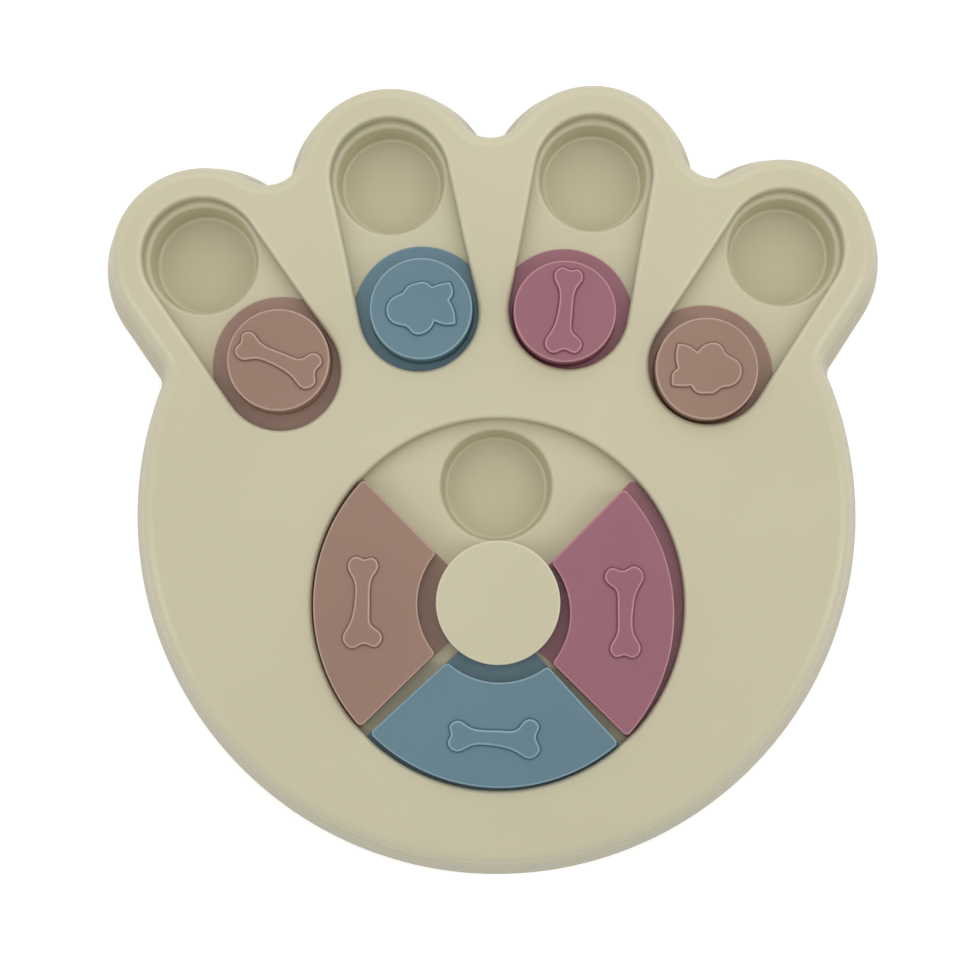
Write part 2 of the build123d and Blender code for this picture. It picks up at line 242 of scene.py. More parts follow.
@dataclass(frozen=True)
class FootRubber:
    """Pressed thermoplastic rubber: dull, faintly chalky, with a fine drag texture."""

    name: str = "pressed_rubber"
    colour: str = "B9B39C"
    chalk: str = "C9C4B2"
    ior: float = 1.5
    roughness: float = 0.78
    chalk_noise: Point = (3.0, 4.0)
    drag_noise: Point = (0.5, 2.0)
    drag_depth: float = 0.02

    def material(self) -> bpy.types.Material:
        """Builds the dull rubber.

        Returns:
            The material.
        """
        skin = Skin(self.name)
        tint = skin.mix(skin.noise(*self.chalk_noise), self.colour, self.chalk)
        drag = skin.bump(skin.noise(*self.drag_noise), self.drag_depth)
        values = {"IOR": self.ior, "Roughness": self.roughness}
        return skin.finish({**values, "Base Color": tint, "Normal": drag})


@dataclass(frozen=True)
class ZincSteel:
    """Zinc-plated steel: bright grey metal with a slightly uneven plated skin."""

    name: str = "zinc_plated_steel"
    colour: str = "B8BABC"
    stain: str = "9EA1A6"
    stain_noise: Point = (1.6, 3.0)
    roughness: float = 0.32
    roughness_swing: float = 0.08

    def material(self) -> bpy.types.Material:
        """Builds the plated metal.

        Returns:
            The material.
        """
        skin = Skin(self.name)
        stain = skin.noise(*self.stain_noise)
        tint = skin.mix(stain, self.colour, self.stain)
        dull = skin.remap(stain, (0.0, 1.0), around(self.roughness, self.roughness_swing))
        return skin.finish({"Metallic": 1.0, "Base Color": tint, "Roughness": dull})


class Finish(Enum):
    """Finishes of the plate's pieces; the value is the record's material slot."""

    CREAM = "cream_plastic"
    BROWN = "brown_plastic"
    BLUE = "blue_plastic"
    MAUVE = "mauve_plastic"
    RUBBER = "foot_rubber"
    STEEL = "screw_steel"


class Motif(Enum):
    """Raised motifs on the moving pieces."""

    BONE = "bone"
    FISH = "fish"


# colours: own colour, its random cloud tone, painted highlight, painted shade
RECIPES = {
    Finish.CREAM: MouldedAbs("moulded_abs_cream", "C7C0A1", "C4BD9E", "DDD7BE", "98906C"),
    Finish.BROWN: MouldedAbs("moulded_abs_brown", "917261", "8C6D5C", "BD9F90", "664C3F"),
    Finish.BLUE: MouldedAbs("moulded_abs_blue", "577986", "537481", "88A9B5", "34505B"),
    Finish.MAUVE: MouldedAbs("moulded_abs_mauve", "925A66", "8D5561", "BD8591", "653A44"),
    Finish.RUBBER: FootRubber(),
    Finish.STEEL: ZincSteel(),
}


@dataclass(frozen=True)
class Station:
    """One ring of a profile: how far out, how high, and how much painted highlight or, below 0,
    painted shade.

    Where a bend's painted light values are a pair, they are those of its middle and of its ends.
    """

    offset: float
    level: float
    rub: float = 0.0


def path(*places: Point) -> list[Station]:
    """Straight stretches of a profile through these offsets and levels."""
    return [Station(*place) for place in places]


def bend(
    centre: Point, radius: float, start: float, stop: float,
    steps: int = 8, rub: float = 0.0, painted_light_ends: float = 0.0,
) -> list[Station]:
    """Rounded stretch of a profile.

    Args:
        centre: offset and level of the arc's centre.
        radius: its radius.
        start: angle of its first ring, in degrees from outwards, up positive.
        stop: angle of its last ring.
        steps: rings less one.
        rub: painted highlight, or below 0 painted shade, at the middle of the arc.
        painted_light_ends: the same at its ends.

    Returns:
        The arc's rings in order.
    """
    stations = []
    for k in range(steps + 1):
        share = k / steps
        angle = math.radians(start + (stop - start) * share)
        place = (centre[0] + radius * math.cos(angle), centre[1] + radius * math.sin(angle))
        stations.append(Station(*place, painted_light_ends + (rub - painted_light_ends) * math.sin(math.pi * share)))
    return stations


def arc_points(centre: Point, radius: float, start: float, stop: float, steps: int) -> list[Point]:
    """Points along a flat arc without its last one.

    Args:
        centre: the arc's centre.
        radius: its radius.
        start: first angle in radians.
        stop: last angle in radians.
        steps: number of points.

    Returns:
        The points in order.
    """
    angles = [start + (stop - start) * k / steps for k in range(steps)]
    return [(centre[0] + radius * math.cos(a), centre[1] + radius * math.sin(a)) for a in angles]


def whole_arc(centre: Point, radius: float, start: float, stop: float, steps: int) -> list[Point]:
    """Points along a flat arc with its last one; the arguments are those of arc_points."""
    last = arc_points(centre, radius, stop, stop, 1)
    return arc_points(centre, radius, start, stop, steps) + last


def short_way(start: float, stop: float) -> float:
    """Stop angle moved by whole turns so that it is less than half a turn from start."""
    return start + (stop - start + math.pi) % math.tau - math.pi


def towards(a: Point, b: Point) -> float:
    """Angle of the way from one point to another, in radians."""
    return math.atan2(b[1] - a[1], b[0] - a[0])


def circle(centre: Point, steps: int) -> RingMaker:
    """Ring maker for circles about one centre, whose offset is the radius."""
    return lambda radius: arc_points(centre, radius, 0.0, math.tau, steps)


def add_object(name: str, data: Any) -> bpy.types.Object:
    """Puts new data into the scene.

    Args:
        name: the object's name.
        data: its mesh, lamp or camera.

    Returns:
        The object.
    """
    made = bpy.data.objects.new(name, data)
    bpy.context.scene.collection.objects.link(made)
    return made


def plain_mesh(piece: bpy.types.Object) -> bpy.types.Object:
    """Replaces an object's mesh by its evaluated one and removes its modifiers.

    Args:
        piece: the object with live modifiers.

    Returns:
        The same object with a plain mesh.
    """
    bpy.context.view_layer.update()
    evaluated = piece.evaluated_get(bpy.context.evaluated_depsgraph_get())
    mesh = bpy.data.meshes.new_from_object(evaluated)
    draft = piece.data
    piece.modifiers.clear()
    piece.data = mesh
    mesh.name = piece.name
    bpy.data.meshes.remove(draft)
    return piece


class Shell:
    """Moulding under construction: swept rings and the flat faces between them."""

    def __init__(self) -> None:
        """Starts an empty mesh."""
        self.mesh = bmesh.new()
        self.rub = self.mesh.verts.layers.float.new(PAINTED_LIGHT)

    def ring(self, points: Sequence[Point], level: float, rub: float = 0.0) -> Ring:
        """Adds one ring of vertices.

        Args:
            points: its places in plan.
            level: its height.
            rub: its painted highlight, or below 0 its painted shade.

        Returns:
            The vertices in order.
        """
        ring = []
        for x, y in points:
            vertex = self.mesh.verts.new((x * MM, y * MM, level * MM))
            vertex[self.rub] = rub
            ring.append(vertex)
        return ring

    def join(self, low: Ring, high: Ring) -> None:
        """Joins two rings of as many vertices by a band of faces.

        Args:
            low: first ring.
            high: second ring.
        """
        for k in range(len(low)):
            after = (k + 1) % len(low)
            self.mesh.faces.new((low[k], low[after], high[after], high[k]))

    def sweep(self, maker: RingMaker, profile: Sequence[Station]) -> tuple[Ring, Ring]:
        """Sweeps a ring along a profile.

        Args:
            maker: gives the ring's points for an offset.
            profile: the stations in order.

        Returns:
            The first and the last ring.
        """
        rings = [self.ring(maker(s.offset), s.level, s.rub) for s in profile]
        for low, high in zip(rings, rings[1:]):
            self.join(low, high)
        return rings[0], rings[-1]

    def fill(self, outer: Ring, holes: Sequence[Ring] = ()) -> None:
        """Fills a flat face with holes.

        Args:
            outer: its boundary.
            holes: boundaries of its holes.
        """
        vertices, loops = [], []
        for loop in (outer, *holes):
            loops.append(list(range(len(vertices), len(vertices) + len(loop))))
            vertices += loop
        flat = [Vector((v.co.x / MM, v.co.y / MM)) for v in vertices]
        cut = geometry.delaunay_2d_cdt(flat, [], loops, INSIDE_WITH_HOLES, SAME_PLACE)
        triangles, origins = cut[2], cut[3]
        for triangle in triangles:
            self.mesh.faces.new([vertices[origins[k][0]] for k in triangle])

    def to_object(
        self, name: str, material: bpy.types.Material, place: Matrix = Matrix.Identity(4)
    ) -> bpy.types.Object:
        """Turns the shell into an object with even normals.

        Args:
            name: the piece's name.
            material: its finish.
            place: where it goes; the move is kept in its mesh.

        Returns:
            The object, at the origin.
        """
        bmesh.ops.recalc_face_normals(self.mesh, faces=self.mesh.faces)
        for face in self.mesh.faces:
            face.smooth = True
        for edge in self.mesh.edges:
            edge.smooth = edge.calc_face_angle(0.0) < SHARP_EDGE
        draft = bpy.data.meshes.new(name + "_draft")
        self.mesh.to_mesh(draft)
        self.mesh.free()
        draft.transform(place)
        draft.materials.append(material)
        piece = add_object(name, draft)
        even = piece.modifiers.new("even_normals", "WEIGHTED_NORMAL")
        even.keep_sharp = True
        even.weight = NORMAL_WEIGHT
        return plain_mesh(piece)


def hand_over(piece: bpy.types.Object, body: str, finish: Finish, *nodes: str) -> None:
    """Lets a piece ride on its body in place of its solids.

    Args:
        piece: the finished piece.
        body: body that carries it.
        finish: its material slot; not used.
        nodes: solids that it stands for.
    """
    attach(piece, body)
    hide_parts(*nodes)
    LOG.info("%s rides on %s with %d faces", piece.name, body, len(piece.data.polygons))


@dataclass(frozen=True)
class Levels:
    """Heights above the floor, and thicknesses, that several pieces share."""

    rim: float = 1.4
    ledge: float = 20.0
    cover: float = 27.0
    track: float = 21.2
    floor_wall: float = 2.2
    cover_wall: float = 2.4
    register_gap: float = 0.25
    flange: float = 1.0
    lift_gap: float = 0.3
    screw_seat: float = 12.4
    hub_seat: float = 21.8

    @property
    def floor(self) -> float:
        """Underside of the track."""
        return self.track - self.floor_wall

    @property
    def plate(self) -> float:
        """Underside of the cover's flat top."""
        return self.cover - self.cover_wall

    @property
    def flange_top(self) -> float:
        """Top of the sliders' flanges and the wedges' lips."""
        return self.track + self.flange

    @property
    def skirt(self) -> float:
        """Lower edge of the skirts that keep the flanges down."""
        return self.flange_top + self.lift_gap


@dataclass(frozen=True)
class PawPlan:
    """Plan of the paw: where the toes, the palm, the wells and the posts lie."""

    palm_radius: float = 112.2
    palm_to_hub: float = 30.7
    fan_to_hub: float = 26.4
    toe_pitch: float = 22.6
    toe_radius: float = 29.0
    notch_radius: float = 11.5
    notch_follow_share: float = 0.6
    heel_radius: float = 8.5
    slot_half_width: float = 18.9
    slot_travel: float = 45.0
    slide_gap: float = 0.35
    flange_lip: float = 2.7
    flange_gap: float = 4.4
    window_radius: float = 58.5
    hub_cap_radius: float = 19.5
    toe_well_radius: float = 17.25
    toe_well_setback: float = 0.6
    palm_well_radius: float = 17.7
    palm_well_reach: float = 37.6
    post_setback: float = 17.8
    post_inset: float = 10.2
    pilot_radius: float = 1.55
    palm_post_bearings: tuple[float, ...] = (10.0, -40.0, -90.0, -140.0, 170.0)
    toe_bearings: tuple[float, ...] = (33.9, 11.3, -11.3, -33.9)
    notch_bearings: tuple[float, ...] = (22.6, 0.0, -22.6)
    toe_steps: int = 64
    notch_steps: int = 20
    heel_steps: int = 12
    palm_steps: int = 280
    slot_steps: int = 60

    @property
    def flange_radius(self) -> float:
        """Radius of a slider's flange."""
        return self.slot_half_width + self.flange_lip

    @property
    def half_pitch(self) -> float:
        """Half the angle between neighbouring toes, in radians."""
        return math.radians(self.toe_pitch / 2)

    @property
    def inner_reach(self) -> float:
        """Reach of the slots' inner ends from the toes' fan centre."""
        return (self.flange_radius + self.flange_gap / 2) / math.sin(self.half_pitch)

    @property
    def outer_reach(self) -> float:
        """Reach of the slots' outer ends from the toes' fan centre."""
        return self.inner_reach + self.slot_travel

    @property
    def toe_side(self) -> float:
        """Distance of a toe's centre from the line between it and its neighbour."""
        return self.outer_reach * math.sin(self.half_pitch)

    @property
    def toe_rise(self) -> float:
        """Reach of a toe's centre along the line between it and its neighbour."""
        return self.outer_reach * math.cos(self.half_pitch)

    @property
    def notch_reach(self) -> float:
        """Reach of the centres of the notches between the toes."""
        gap = self.toe_radius + self.notch_radius
        return self.toe_rise + math.sqrt(gap ** 2 - self.toe_side ** 2)

    @property
    def hub(self) -> Point:
        """Axis of the hub."""
        toes_end = self.toe_rise - self.fan_to_hub + self.toe_radius
        return 0.0, -(toes_end + self.palm_to_hub - self.palm_radius) / 2

    @property
    def palm(self) -> Point:
        """Centre of the palm's round outline."""
        return 0.0, self.hub[1] + self.palm_to_hub

    def fan_point(self, reach: float, bearing: float, side: float = 0.0) -> Point:
        """Place in the toes' fan.

        Args:
            reach: distance from the fan's centre.
            bearing: degrees anticlockwise from +Y.
            side: distance to the left of that line.

        Returns:
            The place in plan.
        """
        angle = math.radians(bearing)
        x = -reach * math.sin(angle) - side * math.cos(angle)
        y = reach * math.cos(angle) - side * math.sin(angle)
        return x, self.hub[1] - self.fan_to_hub + y

    def heel(self) -> Point:
        """Centre of the right-hand hollow corner between the outer toe and the palm.

        Returns:
            The place in plan.
        """
        bearing = self.toe_bearings[-1]
        side = -(self.toe_radius + self.heel_radius)
        reach = self.palm_radius + self.heel_radius
        angle = math.radians(bearing)
        start = self.fan_point(0.0, bearing, side)
        across = (self.palm[0] - start[0], self.palm[1] - start[1])
        run = -across[0] * math.sin(angle) + across[1] * math.cos(angle)
        gap = across[0] ** 2 + across[1] ** 2 - run ** 2
        return self.fan_point(run + math.sqrt(reach ** 2 - gap), bearing, side)

    def notch(self, grow: float) -> tuple[float, float]:
        """Notch between two grown toes; outside the cover its root follows only in part.

        Args:
            grow: distance that the toes have grown outwards.

        Returns:
            Reach of the notch's centre and its radius.
        """
        if grow <= 0:
            return self.notch_reach, self.notch_radius - grow
        root = self.notch_reach - self.notch_radius + grow * self.notch_follow_share
        depth = root - self.toe_rise
        toe = self.toe_radius + grow
        radius = (depth ** 2 + self.toe_side ** 2 - toe ** 2) / (2 * (toe - depth))
        return root + radius, radius

    def outline(self, grow: float) -> list[Point]:
        """Outline of the paw, grown outwards from the cover's lower lip.

        Args:
            grow: distance outwards.

        Returns:
            The points, clockwise from the left-hand hollow corner.
        """
        right = self.heel()
        left = (-right[0], right[1])
        heel_r = self.heel_radius - grow
        toe_r = self.toe_radius + grow
        notch_reach, notch_r = self.notch(grow)
        toes = [self.fan_point(self.outer_reach, b) for b in self.toe_bearings]
        notches = [self.fan_point(notch_reach, b) for b in self.notch_bearings]
        left_side = math.radians(180 + self.toe_bearings[0])
        right_side = math.radians(self.toe_bearings[-1])
        start = towards(left, self.palm)
        stop = short_way(start, left_side - math.pi)
        points = whole_arc(left, heel_r, start, stop, self.heel_steps)
        for k, toe in enumerate(toes):
            start = towards(toe, notches[k - 1]) if k else left_side
            stop = towards(toe, notches[k]) if k < len(notches) else right_side
            points += whole_arc(toe, toe_r, start, short_way(start, stop), self.toe_steps)
            if k < len(notches):
                start = towards(notches[k], toe)
                stop = short_way(start, towards(notches[k], toes[k + 1]))
                points += whole_arc(notches[k], notch_r, start, stop, self.notch_steps)[1:-1]
        start = right_side + math.pi
        stop = short_way(start, towards(right, self.palm))
        points += whole_arc(right, heel_r, start, stop, self.heel_steps)
        start = towards(self.palm, right)
        stop = towards(self.palm, left) - math.tau
        palm_r = self.palm_radius + grow
        return points + whole_arc(self.palm, palm_r, start, stop, self.palm_steps)[1:-1]

    def slot(self, bearing: float) -> RingMaker:
        """Ring maker for a toe slot, whose offset is measured outwards from its wall.

        Args:
            bearing: the toe's bearing.

        Returns:
            The ring maker.
        """
        side, steps = math.radians(bearing), self.slot_steps
        far, near = [self.fan_point(r, bearing) for r in (self.outer_reach, self.inner_reach)]

        def ring(offset: float) -> list[Point]:
            radius, back = self.slot_half_width + offset, side + math.pi
            end = whole_arc(near, radius, back, side + math.tau, steps)
            return whole_arc(far, radius, side, back, steps) + end

        return ring

    def wells(self) -> list[tuple[Point, float]]:
        """Wells in the track.

        Returns:
            Centre and mouth radius of each well, the toes' first.
        """
        reach = self.outer_reach - self.toe_well_setback
        wells = [(self.fan_point(reach, b), self.toe_well_radius) for b in self.toe_bearings]
        for dx, dy in ((0, 1), (-1, 0), (0, -1), (1, 0)):
            place = (dx * self.palm_well_reach, self.hub[1] + dy * self.palm_well_reach)
            wells.append((place, self.palm_well_radius))
        return wells

    def posts(self) -> list[Point]:
        """Screw posts under the track.

        Returns:
            Their centres, between the toes and then round the palm.
        """
        reach = self.notch_reach - self.notch_radius - self.post_setback
        places = [self.fan_point(reach, b) for b in self.notch_bearings]
        ring = self.palm_radius - self.post_inset
        for bearing in self.palm_post_bearings:
            angle = math.radians(bearing)
            place = (self.palm[0] + ring * math.cos(angle), self.palm[1] + ring * math.sin(angle))
            places.append(place)
        return places


@dataclass
class TopCover:
    """Cover shell with its rounded shoulder, toe slots, palm window, skirts and screw bosses."""

    plan: PawPlan
    levels: Levels
    shoulder: float = 4.4
    # painted highlight on the shoulder's round
    shoulder_highlight: float = 0.35
    shoulder_steps: int = 14
    bead: float = 0.55
    bead_height: float = 0.9
    bead_edge: float = 0.25
    # painted highlight on the bead, which shows as a bright line at the lip
    bead_low_highlight: float = 0.6
    bead_highlights: Point = (1.0, 0.4)
    bead_steps: int = 4
    shadow_gap: float = 0.4
    shadow_depth: float = 1.2
    slot_edge: float = 1.6
    # painted highlight along the rounded edges of the slots and the window
    slot_highlight: float = 0.5
    skirt_wall: float = 2.0
    boss_radius: float = 3.6
    boss_floor: float = 0.6
    window_steps: int = 240
    boss_steps: int = 24

    def hole_profile(self, base: float) -> list[Station]:
        """Profile of a slot's or the window's rounded edge and skirt.

        Args:
            base: offset of the hole's wall.

        Returns:
            The stations from the cover's top to its underside.
        """
        lv, outside = self.levels, base + self.skirt_wall
        centre = (base + self.slot_edge, lv.cover - self.slot_edge)
        edge = bend(centre, self.slot_edge, 90, 180, rub=self.slot_highlight)
        return edge + path((base, lv.skirt), (outside, lv.skirt), (outside, lv.plate))

    def lip_profile(self) -> list[Station]:
        """Profile of the lower lip, which stands on the tray's ledge.

        Returns:
            The stations past the shadow gap and up the fine bead outside.
        """
        lv, edge, inset = self.levels, self.bead_edge, -self.shadow_depth
        steps = self.bead_steps
        gap = lv.ledge + self.shadow_gap
        top = gap + self.bead_height
        out = self.bead - edge
        profile = path((-lv.cover_wall, lv.ledge), (inset, lv.ledge), (inset, gap))
        profile += bend((out, gap + edge), edge, -90, 0, steps, self.bead_low_highlight)
        profile += bend((out, top - edge), edge, 0, 90, steps, *self.bead_highlights)
        return profile + bend((edge, top + edge), edge, -90, -180, steps=3)

    def build(self, material: bpy.types.Material) -> bpy.types.Object:
        """Builds the cover.

        Args:
            material: its finish.

        Returns:
            The finished piece.
        """
        lv, plan, shell, pilot = self.levels, self.plan, Shell(), self.plan.pilot_radius
        inner_bend = self.shoulder - lv.cover_wall
        profile = bend((-self.shoulder, lv.plate - inner_bend), inner_bend, 90, 0)
        profile += self.lip_profile()
        centre = (-self.shoulder, lv.cover - self.shoulder)
        profile += bend(centre, self.shoulder, 0, 90, self.shoulder_steps, self.shoulder_highlight)
        under, top = shell.sweep(plan.outline, profile)
        top_holes, under_holes = [], []
        makers = [(plan.slot(b), 0.0) for b in plan.toe_bearings]
        makers.append((circle(plan.hub, self.window_steps), plan.window_radius))
        for maker, base in makers:
            first, last = shell.sweep(maker, self.hole_profile(base))
            top_holes.append(first)
            under_holes.append(last)
        boss = path((self.boss_radius, lv.plate), (self.boss_radius, lv.track))
        boss += path((pilot, lv.track), (pilot, lv.plate - self.boss_floor))
        for place in plan.posts():
            first, last = shell.sweep(circle(place, self.boss_steps), boss)
            under_holes.append(first)
            shell.fill(last)
        shell.fill(top, top_holes)
        shell.fill(under, under_holes)
        return shell.to_object("cover_moulding", material)


@dataclass
class BaseTray:
    """Flared tray with the track, the treat wells, the screw posts and the hub's post."""

    plan: PawPlan
    levels: Levels
    flare: float = 4.8
    ledge_width: float = 0.7
    wall: float = 2.2
    # painted highlight along the lip and rim edges, painted shade on the flared wall between them
    wall_light_and_shade: Point = (0.3, -0.25)
    wall_steps: int = 6
    lip_edge: float = 0.3
    rim_edge: float = 0.8
    well_depth: float = 10.8
    well_draft: float = 1.2
    well_fillet: float = 1.2
    # painted highlight in the middle of the well's floor fillet, painted shade at its ends
    fillet_light_and_shade: Point = (0.2, -0.1)
    fillet_steps: int = 10
    mouth_edge: float = 1.5
    # painted highlight on the well's rounded mouth
    mouth_highlight: float = 0.1
    cup_wall: float = 2.0
    post_radius: float = 6.8
    post_bore: float = 3.2
    post_foot: float = 2.6
    screw_hole: float = 1.6
    hub_radius: float = 9.0
    hub_collar: float = 1.9
    well_steps: int = 120
    cup_steps: int = 72
    post_steps: int = 40
    hub_steps: int = 48

    def grow(self, level: float) -> float:
        """How far the flared wall stands outside the cover's lip at a level."""
        lv = self.levels
        rise = (lv.ledge - level) / (lv.ledge - lv.rim)
        return self.ledge_width + (self.flare - self.ledge_width) * rise

    def wall_profile(self) -> list[Station]:
        """Profile of the tray's wall.

        Returns:
            The stations from the track over the ledge to the floor's underside.
        """
        lv = self.levels
        slope = math.atan((self.flare - self.ledge_width) / (lv.ledge - lv.rim))
        tilt = math.degrees(slope)
        inside = lv.cover_wall + lv.register_gap
        profile = path((-inside, lv.track), (-inside, lv.ledge))
        for level, edge, start, stop in (
            (lv.ledge - self.lip_edge, self.lip_edge, 90, tilt),
            (lv.rim + self.rim_edge, self.rim_edge, tilt, -90),
        ):
            centre = (self.grow(level) - edge / math.cos(slope), level)
            profile += bend(centre, edge, start, stop, self.wall_steps, *self.wall_light_and_shade)
        low, high = self.flare - self.wall, self.grow(lv.floor) - self.wall
        return profile + path((low, lv.rim), (high, lv.floor))

    def well_profile(self, radius: float) -> list[Station]:
        """Profile of a well's inside, from its rounded mouth to its floor.

        Args:
            radius: the mouth's radius before rounding.

        Returns:
            The stations in order.
        """
        lv, edge, fillet = self.levels, self.mouth_edge, self.well_fillet
        slope = math.atan(self.well_draft / self.well_depth)
        tilt = math.degrees(slope)
        low = lv.track - self.well_depth + fillet
        mouth = radius - self.well_draft * edge / self.well_depth + edge / math.cos(slope)
        drop = (lv.track - low) / self.well_depth
        toe = radius - self.well_draft * drop - fillet / math.cos(slope)
        rounded = bend((mouth, lv.track - edge), edge, 90, 180 - tilt, rub=self.mouth_highlight)
        foot = bend((toe, low), fillet, -tilt, -90, self.fillet_steps, *self.fillet_light_and_shade)
        return rounded + foot

    def cup_profile(self, radius: float) -> list[Station]:
        """Profile of a well's outside under the tray.

        Args:
            radius: the well's mouth radius.

        Returns:
            The stations from the floor's underside down.
        """
        lv = self.levels
        low = lv.track - self.well_depth - self.cup_wall
        slope = math.atan(self.well_draft / (lv.track - low))
        edge = self.well_fillet + self.cup_wall

        def reach(level: float) -> float:
            drop = (lv.track - level) / (lv.track - low)
            return radius + self.cup_wall - self.well_draft * drop

        centre = (reach(low + edge) - edge / math.cos(slope), low + edge)
        return path((reach(lv.floor), lv.floor)) + bend(centre, edge, -math.degrees(slope), -90)

    def build(self, material: bpy.types.Material) -> bpy.types.Object:
        """Builds the tray.

        Args:
            material: its finish.

        Returns:
            The finished piece.
        """
        lv, shell, bore, hole = self.levels, Shell(), self.post_bore, self.screw_hole
        track, under = shell.sweep(self.plan.outline, self.wall_profile())
        track_holes, under_holes = [], []
        for place, radius in self.plan.wells():
            first, last = shell.sweep(circle(place, self.well_steps), self.well_profile(radius))
            track_holes.append(first)
            shell.fill(last)
            first, last = shell.sweep(circle(place, self.cup_steps), self.cup_profile(radius))
            under_holes.append(first)
            shell.fill(last)
        post = path((self.post_radius, lv.floor), (self.post_radius, self.post_foot))
        post += path((bore, self.post_foot), (bore, lv.screw_seat))
        post += path((hole, lv.screw_seat), (hole, lv.track))
        for place in self.plan.posts():
            first, last = shell.sweep(circle(place, self.post_steps), post)
            under_holes.append(first)
            track_holes.append(last)
        collar = lv.floor - self.hub_collar
        hub = path((self.hub_radius, lv.track), (self.hub_radius, lv.hub_seat))
        hub += path((hole, lv.hub_seat), (hole, lv.track), (bore, lv.track), (bore, collar))
        hub += path((self.hub_radius, collar), (self.hub_radius, lv.floor))
        first, last = shell.sweep(circle(self.plan.hub, self.hub_steps), hub)
        shell.fill(track, track_holes + [first])
        shell.fill(under, under_holes + [last])
        return shell.to_object("tray_moulding", material)


@dataclass
class HubCap:
    """Round cap in the middle of the palm window, with the boss that its screw bites into."""

    plan: PawPlan
    levels: Levels
    proud: float = 2.8
    edge: float = 0.7
    # painted highlight on the cap's rounded top edge
    edge_highlight: float = 1.0
    boss_radius: float = 5.0
    steps: int = 144
    boss_steps: int = 36

    def build(self, material: bpy.types.Material) -> bpy.types.Object:
        """Builds the cap.

        Args:
            material: its finish.

        Returns:
            The finished piece.
        """
        lv, plan, shell, edge = self.levels, self.plan, Shell(), self.edge
        top, radius, pilot = lv.cover + self.proud, plan.hub_cap_radius, plan.pilot_radius
        ceiling, bore = top - lv.cover_wall, radius - lv.cover_wall
        profile = path((bore, ceiling), (bore, lv.skirt), (radius, lv.skirt))
        profile += bend((radius - edge, top - edge), edge, 0, 90, rub=self.edge_highlight)
        under, crown = shell.sweep(circle(plan.hub, self.steps), profile)
        shell.fill(crown)
        boss = path((self.boss_radius, ceiling), (self.boss_radius, lv.hub_seat))
        boss += path((pilot, lv.hub_seat), (pilot, ceiling))
        first, last = shell.sweep(circle(plan.hub, self.boss_steps), boss)
        shell.fill(under, [first])
        shell.fill(last)
        return shell.to_object("hub_moulding", material)


